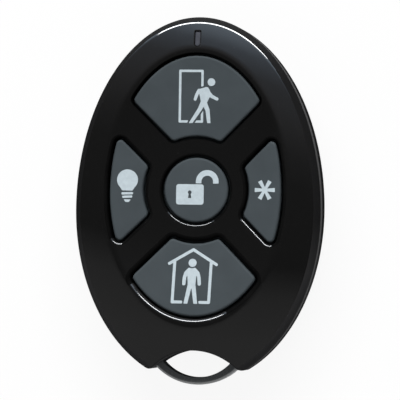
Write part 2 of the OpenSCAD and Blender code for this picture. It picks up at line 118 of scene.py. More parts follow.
# Key ring bail
bail_outer_d = 19.8
bail_outer_y = -20.85
bail_inner_d = 15.2
bail_inner_y = -21.9
bail_z = 4.6
bail_h = 2.6
foot_x = 8.11
foot_y = -24.65
foot_d = 3.0
bail_gap = 0.1

# Screws, bosses and board posts
screw_x = 11.0
screw_y = -19.2
screw_bore_d = 2.3
thread_bore_d = 2.04
thread_end_z = 8.6
head_bore_d = 3.7
seat_z = 3.0
boss_d = 4.2
BOSSES = [(side * screw_x, screw_y) for side in (-1, 1)]
post_reach = 15.5
post_d = 2.0
POST_TURNS = [math.radians(45 + 90 * k) for k in range(4)]
POSTS = [(post_reach * math.cos(t), keypad_y + post_reach * math.sin(t)) for t in POST_TURNS]
board_z = 5.55
board_top_z = 6.55

# Moulded rounds
rim_round = 1.75
notch_round = 0.35
OPENING_ROUNDS = {"away": 0.04, "lights": 0.38, "disarm": 0.28, "auxiliary": 0.38, "stay": 0.62}
slot_round = 0.05
key_round = 0.4
bail_inner_round = 0.12
bail_outer_round = 0.55
seat_round = 0.02
parting_round = 0.12
rear_round = 0.8
screw_hole_round = 0.2

# Steepest polished slope of the rim, in degrees, which rises between two places along the casing
side_polish_limit = 25.5
end_polish_limit = 30.5
polish_low_y = 20.5
polish_high_y = 24.0

# A key opening's round is polished where its outward direction has x and y below these; elsewhere it gets a
# near-black finish, painted shade round the key
polished_right = 0.5
polished_low = -0.6
opening_polish_limit = 42.0
sharp_round = 0.1

# Faces of the bail that are steeper than this, in degrees, have an edge finish
flat_limit = 12.0

# Height at which the finish of the front wall changes: above it the wall has a lighter colour that paints
# light, below it the darker matt edge finish paints shade towards the parting line
wall_low_z = 7.2

# Places of the finishes in the lists of the shells and of the bail; the wall and notch finishes are painted
# light, the opening finish painted shade and the bail edge finish a painted highlight
MATT, PAINTED_LIGHT_WALL, PAINTED_LIGHT_NOTCH, PAINTED_SHADE_OPENING = 1, 2, 3, 4
BAIL_PAINTED_HIGHLIGHT, BAIL_INSIDE = 1, 2

# Spacing of points on outlines and on faces
rim_step = 0.1
key_step = 0.2
slot_step = 0.06
bail_step = 0.2
print_step = 0.07
face_step = 0.85
rear_step = 1.1
rear_inside_step = 1.4
key_face_step = 0.7
print_face_step = 0.5
support = 0.08
least_length = 1e-12
sharp_angle = 35

# Spacing of the grids on which outlines are found, and the area searched for the bail's
core_grid = 0.12
key_grid = 0.25
slot_grid = 0.1
bail_grid = 0.15
print_grid = 0.08
BAIL_AREA = ((-12, -32), (12, -20))

# Counts of points on outlines, and of steps over rounds
rim_loop_count = 30
notch_points = 26
lobe_points = 18
oval_points = 96
circle_points = 40
post_circle_points = 24
middle_key_points = 168
least_points = 12
round_steps = 7
rim_steps = 32
fine_steps = 8
coarse_steps = 5
parting_steps = 3

# Rows of points along the crease and along the edge of the rear flat
CREASE_OFFSETS = (-1.0, -0.65, -0.4, -0.2, 0.0, 0.2, 0.4, 0.65, 1.0)
crease_points = 220
REAR_SHARES = (0.93, 0.96, 0.98, 1.0, 1.02, 1.04, 1.07, 1.1)
rear_points = 120


# Heights of the moulded faces

def arc(share):
    """Height of a unit arc, by the square of the distance from its middle."""
    return np.sqrt(np.maximum(1 - share, 0))


crown_c = rim_drop / (arc(crown_bend**2) - arc((crown_bend * casing_w / crease_w) ** 2))
crown_z = crease_z - crown_c * arc(crown_bend**2)
dish_c = dish_depth / (1 - arc(dish_bend**2))
dish_z = crease_z + dish_c * arc(dish_bend**2)
rear_a = casing_w / 2 + rear_flare
rear_b = (casing_top + casing_bottom) / 2 + rear_flare
rear_c = parting_z / arc((rear_flat_w / 2 / rear_a) ** 2)


def smooth_min(a, b, soft):
    """The lower of two heights, with the corner between them rounded."""
    blend = np.maximum(soft - np.abs(a - b), 0) / soft
    return np.minimum(a, b) - blend**2 * soft / 4


def crease_share(xy):
    """Squared distance from the dish's middle, 1 on the crease."""
    return (xy[:, 0] / (crease_w / 2)) ** 2 + ((xy[:, 1] - crease_y) / (crease_l / 2)) ** 2


def dish_height(xy):
    return dish_z - dish_c * arc(dish_bend**2 * crease_share(xy))


def crown_height(xy):
    return crown_z + crown_c * arc(crown_bend**2 * crease_share(xy))


def face_height(xy):
    return smooth_min(crown_height(xy), dish_height(xy), crease_soft)


def lens_height(xy):
    return crown_height(xy) - lens_recess


def dome_depth(xy, inset):
    share = (xy[:, 0] / (rear_a - inset)) ** 2 + ((xy[:, 1] - middle_y) / (rear_b - inset)) ** 2
    return parting_z - (rear_c - inset) * arc(share)


def under_height(xy):
    """Height of the rear face with the fob turned over."""
    return smooth_min(-dome_depth(xy, 0), np.zeros(len(xy)), rear_soft)


def rear_height(xy):
    return -under_height(xy)


def rear_inside_height(xy):
    return -smooth_min(-dome_depth(xy, wall), np.full(len(xy), -floor_t), rear_soft)


# Flat outlines

def directions(turn):
    """Unit directions for angles in radians."""
    return np.stack([np.cos(turn), np.sin(turn)], -1)


def full_turn(count, shift=0.0):
    """Evenly spaced angles all round."""
    return (np.arange(count) + shift) * 2 * math.pi / count


def circle_loop(centre, radius, points=circle_points):
    return np.array(centre) + radius * directions(full_turn(points))


def casing_loop(inset):
    """Casing outline moved inwards, with as many points for any inset, from the notch's middle by +X."""
    half_w = casing_w / 2
    round_r = max(lobe_r - inset, least_lobe_r)
    centre_in = inset + round_r

    def oval(turn, moved_in):
        b = np.where(np.sin(turn) > 0, casing_top, casing_bottom)
        normal = np.stack([b * np.cos(turn), half_w * np.sin(turn)], -1)
        normal /= np.linalg.norm(normal, axis=-1, keepdims=True)
        on_oval = np.stack([half_w * np.cos(turn), widest_y + b * np.sin(turn)], -1)
        return on_oval - moved_in * normal, normal

    # The lobe touches the notch and the oval: its place is found by halving
    low, high = math.radians(-89), math.radians(-5)
    halvings = 50
    for _ in range(halvings):
        middle = (low + high) / 2
        centre, normal = oval(np.array(middle), centre_in)
        if math.hypot(centre[0], centre[1] - notch_y) > notch_d / 2 + centre_in:
            high = middle
        else:
            low = middle
    to_notch = math.atan2(centre[1] - notch_y, centre[0])
    to_oval = math.atan2(normal[1], normal[0])

    turn = np.linspace(math.pi / 2, to_notch, notch_points)
    notch = (notch_d / 2 + inset) * directions(turn) + [0, notch_y]
    turn = np.linspace(to_notch - math.pi, to_oval, lobe_points + 1)[1:]
    lobe = round_r * directions(turn) + centre
    turn = np.linspace(middle, math.pi / 2, oval_points + 1)[1:]
    right = np.concatenate([notch, lobe, oval(turn, inset)[0]])
    return np.concatenate([right, right[-2:0:-1] * [-1, 1]])


rim_loops = np.array([casing_loop(i * rim_step) for i in range(rim_loop_count)])
rim_count = rim_loops.shape[1]


def rim_points(inset):
    """Casing outline moved inwards by a distance that may differ from point to point."""
    below_last = rim_loop_count - 1.001
    place = np.clip(np.broadcast_to(inset, rim_count) / rim_step, 0, below_last)
    low = place.astype(int)
    share = (place - low)[:, None]
    points = np.arange(rim_count)
    return rim_loops[low, points] * (1 - share) + rim_loops[low + 1, points] * share


def rim_rounds(at_oval, at_notch):
    """Edge radius for each outline point, easing from the notch to the oval over the lobes."""
    share = np.concatenate([
        np.zeros(notch_points),
        np.linspace(0, 1, lobe_points + 1)[1:],
        np.ones(oval_points),
    ])
    share = np.concatenate([share, share[-2:0:-1]])
    return at_notch + (at_oval - at_notch) * share**2 * (3 - 2 * share)


# Signed distances of flat shapes, below zero inside

def either(*shapes):
    """Where any of the shapes is."""
    return np.minimum.reduce(shapes)


def rounded_overlap(distances, r):
    """Where all the shapes overlap, with corners of radius r."""
    d = np.stack(distances) + r
    return np.linalg.norm(np.maximum(d, 0), axis=0) + np.minimum(d.max(0), 0) - r


def disc(x, y, centre, r):
    return np.hypot(x - centre[0], y - centre[1]) - r


def box(x, y, low, high, r):
    dx = np.maximum(low[0] - x, x - high[0])
    dy = np.maximum(low[1] - y, y - high[1])
    return rounded_overlap([dx, dy], r)


def stroke(x, y, points, r, end_r=None):
    """Round-ended line of half-width r through the points, tapering to end_r at the last one."""
    end_r = r if end_r is None else end_r
    radii = np.linspace(r, end_r, len(points))
    best = np.full(np.shape(x), np.inf)
    for a, b, ra, rb in zip(points, points[1:], radii, radii[1:]):
        dx, dy = b[0] - a[0], b[1] - a[1]
        along = np.clip(((x - a[0]) * dx + (y - a[1]) * dy) / (dx * dx + dy * dy), 0, 1)
        reach = np.hypot(x - a[0] - along * dx, y - a[1] - along * dy)
        best = np.minimum(best, reach - ra - (rb - ra) * along)
    return best


def convex(x, y, corners, r):
    """Convex shape through corners given clockwise, with rounded corners."""
    sides = []
    for a, b in zip(corners, corners[1:] + corners[:1]):
        dx, dy = b[0] - a[0], b[1] - a[1]
        sides.append(((y - a[1]) * dx - (x - a[0]) * dy) / math.hypot(dx, dy))
    return rounded_overlap(sides, r)


def field_oval(x, y):
    half_w = field_w / 2
    up = y + field_down
    half_l = np.where(up > 0, field_top + field_down, field_bottom - field_down)
    share = np.hypot(x / half_w, up / half_l)
    slope = np.hypot(x / half_w**2, up / half_l**2)
    least_slope = 1e-6
    return share * (share - 1) / np.maximum(slope, least_slope)


KEY_TURNS = {
    "away": lambda x, y: (x, y),
    "lights": lambda x, y: (y, -x),
    "auxiliary": lambda x, y: (y, x),
    "stay": lambda x, y: (x, -y),
}


def outer_key_core(key):
    """Signed distance of an outer key with square corners, drawn in by the corner radius."""
    def core(x, y):
        above_cross = y + arm_down
        across, out = KEY_TURNS[key](x, above_cross)
        near_arm = np.where(above_cross > 0, arm_w, lower_arm_w)
        arm = (np.abs(across) - out) / math.sqrt(2) + near_arm / 2
        sides = [field_oval(x, y), ring_d / 2 - np.hypot(x, y), arm]
        return np.max(sides, axis=0) + key_corner_r

    return core


def around(loop, r):
    """Shape that reaches a distance r round a closed loop."""
    start = loop[:, :, None]
    ahead = (np.roll(loop, -1, axis=0) - loop)[:, :, None]
    square = np.maximum((ahead**2).sum(1), least_length)

    def shape(x, y):
        spot = np.stack([np.ravel(x), np.ravel(y)])[None]
        along = ((spot - start) * ahead).sum(1) / square
        gap = spot - start - np.clip(along, 0, 1)[:, None] * ahead
        return np.sqrt((gap**2).sum(1).min(0)).reshape(np.shape(x)) - r

    return shape


def slot_shape(inset, corner_r):
    """Status light slot with a square top and a round bottom, drawn in by a distance."""
    half_w = light_w / 2 - inset
    end_y = (light_w - light_l) / 2

    def shape(x, y):
        straight = rounded_overlap([np.abs(x) - half_w, y - light_l / 2 + inset], corner_r)
        return np.where(y > end_y, straight, disc(x, y, (0, end_y), half_w))

    return shape


def bail_shape(x, y):
    outer = disc(x, y, (0, bail_outer_y), bail_outer_d / 2)
    inner = disc(x, y, (0, bail_inner_y), bail_inner_d / 2)
    strap = np.maximum(np.maximum(outer, -inner), y - foot_y)
    feet = disc(np.abs(x), y, (foot_x, foot_y), foot_d / 2)
    return either(strap, feet)


def contours(shape, low, high, step):
    """Closed loops on which a signed distance is zero, found on a square grid."""
    xs = np.arange(low[0], high[0] + step, step)
    ys = np.arange(low[1], high[1] + step, step)
    value = shape(*np.meshgrid(xs, ys, indexing="ij"))
    inside = value < 0
    links = {}
    cells = inside[:-1, :-1].astype(int) + inside[1:, :-1] + inside[:-1, 1:] + inside[1:, 1:]
    for i, j in np.argwhere((cells > 0) & (cells < 4)):
        corners = [(i, j), (i + 1, j), (i + 1, j + 1), (i, j + 1)]
        sides = []
        for a, b in zip(corners, corners[1:] + corners[:1]):
            if inside[a] != inside[b]:
                sides.append((min(a, b), max(a, b)))
        for one, other in zip(sides[::2], sides[1::2]):
            links.setdefault(one, []).append(other)
            links.setdefault(other, []).append(one)

    def crossing(side):
        a, b = side
        share = value[a] / (value[a] - value[b])
        return [xs[a[0]] + (xs[b[0]] - xs[a[0]]) * share, ys[a[1]] + (ys[b[1]] - ys[a[1]]) * share]

    loops = []
    while links:
        start = next(iter(links))
        side, loop = start, []
        while side in links:
            loop.append(crossing(side))
            ahead = links.pop(side)
            side = next((s for s in ahead if s in links), start)
        loops.append(np.array(loop))
    return loops


def even_loop(loop, shape, step):
    """Loop with evenly spaced points on the shape's edge, and its outward directions."""
    closed = np.concatenate([loop, loop[:1]])
    length = np.concatenate([[0], np.cumsum(np.linalg.norm(np.diff(closed, axis=0), axis=1))])
    count = max(int(round(length[-1] / step)), least_points)
    at = np.arange(count) * length[-1] / count
    points = np.stack([np.interp(at, length, closed[:, k]) for k in (0, 1)], -1)
    tiny = 1e-4
    corrections = 3
    for _ in range(corrections):
        x, y = points.T
        out = np.stack([
            shape(x + tiny, y) - shape(x - tiny, y),
            shape(x, y + tiny) - shape(x, y - tiny),
        ], -1)
        out /= np.maximum(np.linalg.norm(out, axis=1, keepdims=True), least_length)
        points = points - out * shape(x, y)[:, None]
    return points, out


def inside_loops(spots, loops):
    """True for the spots that an odd number of the loops goes round."""
    odd = np.zeros(len(spots), bool)
    for loop in loops:
        ahead = np.roll(loop, -1, axis=0)
        for (x1, y1), (x2, y2) in zip(loop, ahead):
            if y1 != y2:
                spans = (y1 > spots[:, 1]) != (y2 > spots[:, 1])
                odd ^= spans & (spots[:, 0] < x1 + (spots[:, 1] - y1) * (x2 - x1) / (y2 - y1))
    return odd


# Skins: closed meshes put together from loops

def add_to_scene(name, data):
    holder = bpy.data.objects.new(name, data)
    bpy.context.scene.collection.objects.link(holder)
    return holder


def smooth(mesh):
    mesh.shade_smooth()
    mesh.set_sharp_from_angle(angle=math.radians(sharp_angle))


class Skin:
    """Points and faces of one closed piece, in millimetres."""

    def __init__(self):
        self.points = []
        self.faces = []
        self.finish_of = {}

    def loop(self, xy, z):
        start = len(self.points)
        heights = np.broadcast_to(z, len(xy))
        self.points.extend(zip(xy[:, 0], xy[:, 1], heights))
        return list(range(start, len(self.points)))

    def chain(self, loop, rings, finish=0, above=0):
        """Joins a loop to the rings that follow it and gives back the last one.

        Faces steeper than above, in degrees, get the finish with that number; both may differ by point.
        """
        start = len(self.faces)
        # Finish number by point; several finishes carry painted light and shade
        finish_numbers = np.broadcast_to(finish, len(loop))
        limit = np.broadcast_to(above, len(loop))
        for xy, z in rings:
            ahead = self.loop(xy, z)
            for k in range(len(loop)):
                n = (k + 1) % len(loop)
                self.faces.append((loop[k], loop[n], ahead[n], ahead[k]))
            loop = ahead
        for face in range(start, len(self.faces)):
            point = (face - start) % len(loop)
            if finish_numbers[point] and self.steepness(face) >= limit[point]:
                self.finish_of[face] = int(finish_numbers[point])
        return loop

    def post(self, xy, base_z, end_z):
        """Post with a closed end; gives back the loop at its base."""
        base = self.loop(xy, base_z)
        self.fill([self.chain(base, [(xy, end_z)])])
        return base

    def steepness(self, face):
        """Angle between a four-sided face and the level, in degrees."""
        a, b, c, d = (Vector(self.points[i]) for i in self.faces[face])
        across = (c - a).cross(d - b)
        return math.degrees(math.atan2(across.xy.length, abs(across.z)))

    def fill(self, loops, height=None, step=0, rows=()):
        """Covers the area between the loops, with a grid of points at a function's heights."""
        outlines = [np.array([self.points[i][:2] for i in loop]) for loop in loops]
        inner = grid_points(np.concatenate(outlines), step, rows) if step else []
        border = [i for loop in loops for i in loop]
        flat = [self.points[i][:2] for i in border] + [tuple(p) for p in inner]
        edges = []
        start = 0
        for loop in loops:
            count = len(loop)
            edges.extend((start + k, start + (k + 1) % count) for k in range(count))
            start += count
        inside_edges, merge_gap = 1, 1e-6
        spots = [Vector(p) for p in flat]
        points, _, faces, sources, _, _ = delaunay_2d_cdt(spots, edges, [], inside_edges, merge_gap)
        middles = np.array([np.mean([points[v] for v in face], axis=0) for face in faces])
        places = {}
        for face, wanted in zip(faces, inside_loops(middles, outlines)):
            if not wanted:
                continue
            corners = []
            for v in face:
                source = sources[v][0]
                if source < len(border):
                    corners.append(border[source])
                    continue
                if source not in places:
                    xy = np.array([flat[source]])
                    places[source] = self.loop(xy, height(xy))[0]
                corners.append(places[source])
            self.faces.append(tuple(corners))

    def as_object(self, name):
        """The skin as an object, with its faces turned outwards."""
        mesh = bpy.data.meshes.new(name)
        mesh.from_pydata([(x * MM, y * MM, z * MM) for x, y, z in self.points], [], self.faces)
        work = bmesh.new()
        work.from_mesh(mesh)
        bmesh.ops.recalc_face_normals(work, faces=work.faces)
        work.to_mesh(mesh)
        work.free()
        smooth(mesh)
        return add_to_scene(name, mesh)

    def build(self, name, finishes, body, slot):
        """The skin as a finished piece that moves with a body."""
        piece = self.as_object(name)
        for finish in finishes:
            piece.data.materials.append(FINISHES[finish])
        for face, finish in self.finish_of.items():
            piece.data.polygons[face].material_index = finish
        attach(piece, body)
        return piece


def quarter_round(steps):
    """Pairs of 1 less the cosine and 1 less the sine, over a quarter turn."""
    turns = [k / steps * math.pi / 2 for k in range(steps + 1)]
    return [(1 - math.cos(turn), 1 - math.sin(turn)) for turn in turns]


def edge_rings(points_in, radius, height, steps=round_steps):
    """Rings of a round between a face and an upright wall, from just inside the face to the wall."""
    radius = np.asarray(radius, float)
    reach = radius.copy()
    probe = 0.02
    corrections = 5
    for _ in range(corrections):
        near, far = points_in(reach), points_in(reach + probe)
        slope = (height(far) - height(near)) / probe
        steep = np.sqrt(1 + slope**2)
        reach = radius * (1 - slope / steep)
    centre_z = height(points_in(reach)) - radius / steep
    start = np.arctan2(1, -slope)
    inside = points_in(reach + support)
    rings = [(inside, height(inside))]
    for k in range(steps + 1):
        turn = start + (math.pi - start) * k / steps
        rings.append((points_in(radius * (1 + np.cos(turn))), centre_z + radius * np.sin(turn)))
    return rings


def loop_rings(loop, inward, radius, height, steps=round_steps):
    """Rings of an even round along a loop, with the directions from the wall into the face."""
    def points_in(reach):
        return loop + inward * np.reshape(reach, (-1, 1))

    return edge_rings(points_in, np.full(len(loop), radius), height, steps)


def flipped(rings):
    return [(xy, -z) for xy, z in rings]


def clear_of(points, others, gap):
    """True for the points that keep a distance from all the others."""
    keep = np.ones(len(points), bool)
    batch = 400
    for k in range(0, len(points), batch):
        part = points[k:k + batch]
        near = np.linalg.norm(part[:, None] - others[None], axis=2).min(1)
        keep[k:k + batch] = near > gap
    return keep


def grid_points(border, step, rows):
    """Points in the border's box, in offset rows, clear of the border and of rows of extra points."""
    row_clear, border_clear = 0.5, 0.42
    low, high = border.min(0), border.max(0)
    row_h = step * math.sqrt(3) / 2
    points = []
    for j, y in enumerate(np.arange(low[1], high[1], row_h)):
        xs = np.arange(low[0] + (j % 2) * step / 2, high[0], step)
        points.append(np.stack([xs, np.full(len(xs), y)], -1))
    points = np.concatenate(points)
    if len(rows):
        points = points[clear_of(points, rows, step * row_clear)]
        points = np.concatenate([points, rows])
    return points[clear_of(points, border, step * border_clear)]


def crease_rows():
    """Close rows of points along the crease, where the face bends."""
    rows = []
    for k, offset in enumerate(CREASE_OFFSETS):
        turn = full_turn(crease_points, 0.5 * (k % 2))
        rows.append(directions(turn) * [crease_w / 2 + offset, crease_l / 2 + offset] + [0, crease_y])
    return np.concatenate(rows)


def rear_rows():
    """Rows of points along the edge of the flat that the fob rests on."""
    across = rear_flat_w / 2
    along = across * rear_b / rear_a
    round_flat = directions(full_turn(rear_points))
    return np.concatenate([
        round_flat * [share * across, share * along] + [0, middle_y] for share in REAR_SHARES
    ])


# Key outlines, shared by the keys and by their openings in the face
KEYS = ("away", "lights", "disarm", "auxiliary", "stay")
SWITCH_X = (ring_d + field_w) / 4
NUB_AT = {
    "away": (0, keypad_y + (ring_d / 2 + field_top) / 2),
    "lights": (-SWITCH_X, keypad_y),
    "disarm": (0, keypad_y),
    "auxiliary": (SWITCH_X, keypad_y),
    "stay": (0, keypad_y - (ring_d / 2 + field_bottom) / 2),
}


def key_outline(key):
    """Outline of a key with round corners, and its outward directions."""
    if key == "disarm":
        points = circle_loop((0, 0), middle_key_d / 2, middle_key_points)
        return points + [0, keypad_y], points / (middle_key_d / 2)
    reach = max(field_w / 2, field_top)
    core = max(contours(outer_key_core(key), (-reach, -reach), (reach, reach), core_grid), key=len)
    shape = around(core, key_corner_r)
    low, high = core.min(0) - 2 * key_corner_r, core.max(0) + 2 * key_corner_r
    loop = max(contours(shape, low, high, key_grid), key=lambda points: np.ptp(points[:, 0]))
    points, out = even_loop(loop, shape, key_step)
    return points + [0, keypad_y], out


key_outlines = {key: key_outline(key) for key in KEYS}


def slot_outline(inset, corner_r):
    shape = slot_shape(inset, corner_r)
    loop = max(contours(shape, (-light_w, -light_l), (light_w, light_l), slot_grid), key=len)
    points, out = even_loop(loop, shape, slot_step)
    return points + [0, light_y], out


def bail_outline():
    loop = max(contours(bail_shape, *BAIL_AREA, bail_grid), key=len)
    return even_loop(loop, bail_shape, bail_step)


def slab(loop, out, low_z, high_z, rounds, finish=0):
    """Closed plate on a flat outline, with an edge radius for each outline point."""
    skin = Skin()
    rings = [(loop - out * (rounds + support)[:, None], low_z)]
    for rise, inset in quarter_round(coarse_steps):
        rings.append((loop - out * (rounds * inset)[:, None], low_z + rounds * rise))
    rings += [(xy, low_z + high_z - z) for xy, z in rings[::-1]]
    first = skin.loop(*rings[0])
    last = skin.chain(first, rings[1:], finish, flat_limit)
    skin.fill([first])
    skin.fill([last])
    return skin


def cut(piece, cutter):
    """Takes the cutter's shape out of a piece, for good."""
    bool_cut = piece.modifiers.new("cut", "BOOLEAN")
    bool_cut.operation = "DIFFERENCE"
    bool_cut.solver = "EXACT"
    bool_cut.object = cutter
    result = bpy.data.meshes.new_from_object(piece.evaluated_get(bpy.context.evaluated_depsgraph_get()))
    piece.modifiers.clear()
    finishes = list(piece.data.materials)
    # Each face keeps its finish number, painted light and shade included
    finish_numbers = [min(face.material_index, len(finishes) - 1) for face in result.polygons]
    piece.data = result
    result.materials.clear()
    for finish in finishes:
        result.materials.append(finish)
    result.polygons.foreach_set("material_index", finish_numbers)
    smooth(result)


# Finishes

def connect(owner, node, inputs):
    """Sets each input of a node to a value, or links it to the output of another node."""
    for socket, value in inputs.items():
        if isinstance(value, bpy.types.NodeSocket):
            owner.node_tree.links.new(value, node.inputs[socket])
        else:
            node.inputs[socket].default_value = value


def add_node(owner, kind, inputs, operation=None):
    """Adds a shader node to a material or a world."""
    node = owner.node_tree.nodes.new("ShaderNode" + kind)
    if operation:
        node.operation = operation
    connect(owner, node, inputs)
    return node


def new_finish(name, inputs):
    """A material, and its Principled shader with the values that are the same all over."""
    finish = bpy.data.materials.new(name)
    finish.use_nodes = True
    shader = finish.node_tree.nodes["Principled BSDF"]
    connect(finish, shader, inputs)
    return finish, shader


def noise(finish, scale, detail=3.0, rough=0.55):
    """Noise in the object's own place, with its scale in features per millimetre."""
    place = add_node(finish, "TexCoord", {}).outputs["Object"]
    inputs = {"Vector": place, "Scale": scale / MM, "Detail": detail, "Roughness": rough}
    return add_node(finish, "TexNoise", inputs).outputs["Fac"]


def ramp(owner, source, stops):
    """Colours along a value: stops are (place, colour)."""
    node = add_node(owner, "ValToRGB", {"Fac": source})
    elements = node.color_ramp.elements
    for k, (place, color) in enumerate(stops):
        element = elements[k] if k < len(elements) else elements.new(place)
        element.position = place
        element.color = (*color, 1)
    return node.outputs["Color"]


def spread(owner, source, low, high, start=0.3, end=0.7):
    """Maps a value between start and end, such as a noise, to a range of numbers."""
    inputs = {"Value": source, "From Min": start, "From Max": end, "To Min": low, "To Max": high}
    return add_node(owner, "MapRange", inputs).outputs["Result"]


def bump(finish, shader, source, height):
    """Raises the surface by a noise value, with the height in millimetres."""
    node = add_node(finish, "Bump", {"Strength": 1, "Distance": height * MM, "Height": source})
    connect(finish, shader, {"Normal": node.outputs["Normal"]})


def grained(finish, shader, color, rough, grain, grain_height):
    """Gives a finish its colour, and a fine grain in its roughness and in its surface."""
    fine = noise(finish, grain, detail=2.0)
    connect(finish, shader, {"Base Color": color, "Roughness": spread(finish, fine, *rough)})
    bump(finish, shader, fine, grain_height)


def mottled(name, dark, light, rough, grain, grain_height, blotch=0.25, specular=0.5):
    """Finish with soft colour blotches and a fine grain."""
    finish, shader = new_finish(name, {
        "Base Color": (*light, 1), "Roughness": rough[1],
        "Specular IOR Level": specular, "Metallic": float(name in METALS),
    })
    color = ramp(finish, noise(finish, blotch), [(0.35, dark), (0.65, light)])
    grained(finish, shader, color, rough, grain, grain_height)
    return finish


def gloss_shell():
    """Polished black moulding with faint waviness and a few specks of dust."""
    black, deep, dust = (0.003, 0.003, 0.003), (0.0015, 0.0015, 0.0015), (0.03, 0.03, 0.031)
    speck_scale, blur_scale, wave_scale, wave_height = 4.5, 0.6, 0.12, 0.004
    finish, shader = new_finish("gloss_shell", {
        "Base Color": (*black, 1), "Roughness": 0.08, "IOR": 1.6,
        "Coat Weight": 1.0, "Coat IOR": 1.6, "Coat Roughness": 0.03,
    })
    specks = ramp(finish, noise(finish, speck_scale, 0.0), [(0.0, deep), (0.86, black), (0.9, dust)])
    blur = spread(finish, noise(finish, blur_scale), 0.06, 0.1)
    connect(finish, shader, {"Base Color": specks, "Roughness": blur})
    bump(finish, shader, noise(finish, wave_scale, 1.0), wave_height)
    return finish


# Painted light on the steep edges: their brightness by place along the casing, in millimetres, lighter
# towards both ends
RIM_EDGE_PAINTED_LIGHT = [(-12.0, 0.026), (-3.0, 0.0115), (20.0, 0.0125), (30.0, 0.022)]
rim_edge_blue = 1.03


def rim_edge_painted_light():
    """Matt black moulding of the steep edges, with painted light: coloured lighter towards both ends of the
    casing.
    """
    base = {"Base Color": (0.012, 0.012, 0.0125, 1), "Roughness": 0.6, "Specular IOR Level": 0.0}
    finish, shader = new_finish("matt_edge", base)
    place = add_node(finish, "TexCoord", {}).outputs["Object"]
    along_y = add_node(finish, "SeparateXYZ", {"Vector": place}).outputs["Y"]
    half_l = (casing_top + casing_bottom) / 2
    along = spread(finish, along_y, 0, 1, -half_l * MM, half_l * MM)
    stops = [((y + half_l) / (2 * half_l), (v, v, v * rim_edge_blue)) for y, v in RIM_EDGE_PAINTED_LIGHT]
    grained(finish, shader, ramp(finish, along, stops), (0.55, 0.7), 9.0, 0.012)
    return finish


# Mottled finishes: darker and lighter colour, range of roughness, scale and height of the grain,
# and the scale of the blotches and the specular level where they aren't the usual ones
MOTTLED = {
    "satin_shell": ((0.012, 0.012, 0.013), (0.018, 0.018, 0.02), (0.42, 0.58), 9.0, 0.012, 0.25, 0.35),
    # Upper front wall: coloured lighter than the matt edge below it, painted light
    "satin_wall": ((0.02, 0.02, 0.021), (0.026, 0.026, 0.027), (0.45, 0.6), 9.0, 0.012, 0.25, 0.03),
    # Notch wall: coloured lighter than the edges, painted light in the notch's shade
    "notch_wall": ((0.042, 0.042, 0.043), (0.05, 0.05, 0.051), (0.5, 0.65), 9.0, 0.012, 0.25, 0.0),
    # Rounds of the key openings away from the glints: near-black, painted shade round the keys
    "opening_edge": ((0.003, 0.003, 0.003), (0.005, 0.005, 0.005), (0.5, 0.65), 9.0, 0.012, 0.25, 0.02),
    "key_rubber": ((0.0505, 0.062, 0.069), (0.0565, 0.069, 0.0765), (0.6, 0.75), 12.0, 0.004, 0.25, 0.2),
    "key_ink": ((0.49, 0.57, 0.615), (0.55, 0.635, 0.68), (0.5, 0.65), 14.0, 0.003, 1.5),
    "bail_plastic": ((0.078, 0.084, 0.088), (0.092, 0.099, 0.104), (0.22, 0.32), 8.0, 0.004, 0.25, 1.0),
    # Outer edge of the bail: coloured pale, a painted highlight
    "bail_edge": ((0.27, 0.277, 0.28), (0.3, 0.308, 0.312), (0.4, 0.55), 8.0, 0.004, 0.25, 0.2),
    "bail_inside": ((0.07, 0.074, 0.077), (0.08, 0.085, 0.088), (0.5, 0.65), 8.0, 0.004, 0.25, 0.0),
    "mat_rubber": ((0.045, 0.055, 0.062), (0.052, 0.062, 0.07), (0.65, 0.8), 10.0, 0.006),
    "plunger_plastic": ((0.74, 0.7, 0.6), (0.8, 0.77, 0.68), (0.35, 0.5), 6.0, 0.004),
    "chip_plastic": ((0.015, 0.015, 0.016), (0.024, 0.024, 0.026), (0.55, 0.75), 14.0, 0.008),
    "board_mask": ((0.006, 0.07, 0.022), (0.012, 0.1, 0.035), (0.2, 0.32), 3.0, 0.004, 0.8),
    "bright_steel": ((0.54, 0.55, 0.57), (0.64, 0.65, 0.67), (0.2, 0.36), 7.0, 0.002, 0.6),
    "ceramic": ((0.44, 0.36, 0.23), (0.54, 0.46, 0.32), (0.4, 0.6), 9.0, 0.004, 1.5),
    "contact_gold": ((0.68, 0.48, 0.18), (0.78, 0.58, 0.25), (0.2, 0.34), 7.0, 0.002),
    "led_lens": ((0.8, 0.76, 0.62), (0.88, 0.85, 0.74), (0.1, 0.2), 5.0, 0.002),
    "light_pipe": ((0.05, 0.054, 0.066), (0.07, 0.072, 0.088), (0.3, 0.45), 6.0, 0.003, 0.9, 0.1),
}
METALS = ("bright_steel", "contact_gold")
FINISHES = {name: mottled(name, *values) for name, values in MOTTLED.items()}
FINISHES["gloss_shell"] = gloss_shell()
FINISHES["matt_edge"] = rim_edge_painted_light()

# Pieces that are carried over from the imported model, by finish
CARRIED_OVER = {
    "mat_rubber": ["keypad_mat"],
    "plunger_plastic": [key + "_plunger" for key in KEYS],
    "chip_plastic": ["switch_bases", "controller_chip", "radio_chip"],
    "bright_steel": ["switch_covers", "crystal", "coin_cell", "battery_clip", "case_screws"],
    "board_mask": ["circuit_board"],
    "led_lens": ["status_led"],
    "ceramic": ["chip_parts"],
    "contact_gold": ["negative_contact"],
}
for name, nodes in CARRIED_OVER.items():
    for node in nodes:
        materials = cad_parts[node].data.materials
        materials.clear()
        materials.append(FINISHES[name])


# Shells

def bail_cutter():
    """The bail's space in the shells, with its clearance."""
    loop, out = bail_outline()
    rounds = np.full(len(loop), seat_round)
    skin = slab(loop + out * bail_gap, out, bail_z - bail_gap, bail_z + bail_h + bail_gap, rounds)
    return skin.as_object("bail_seat")


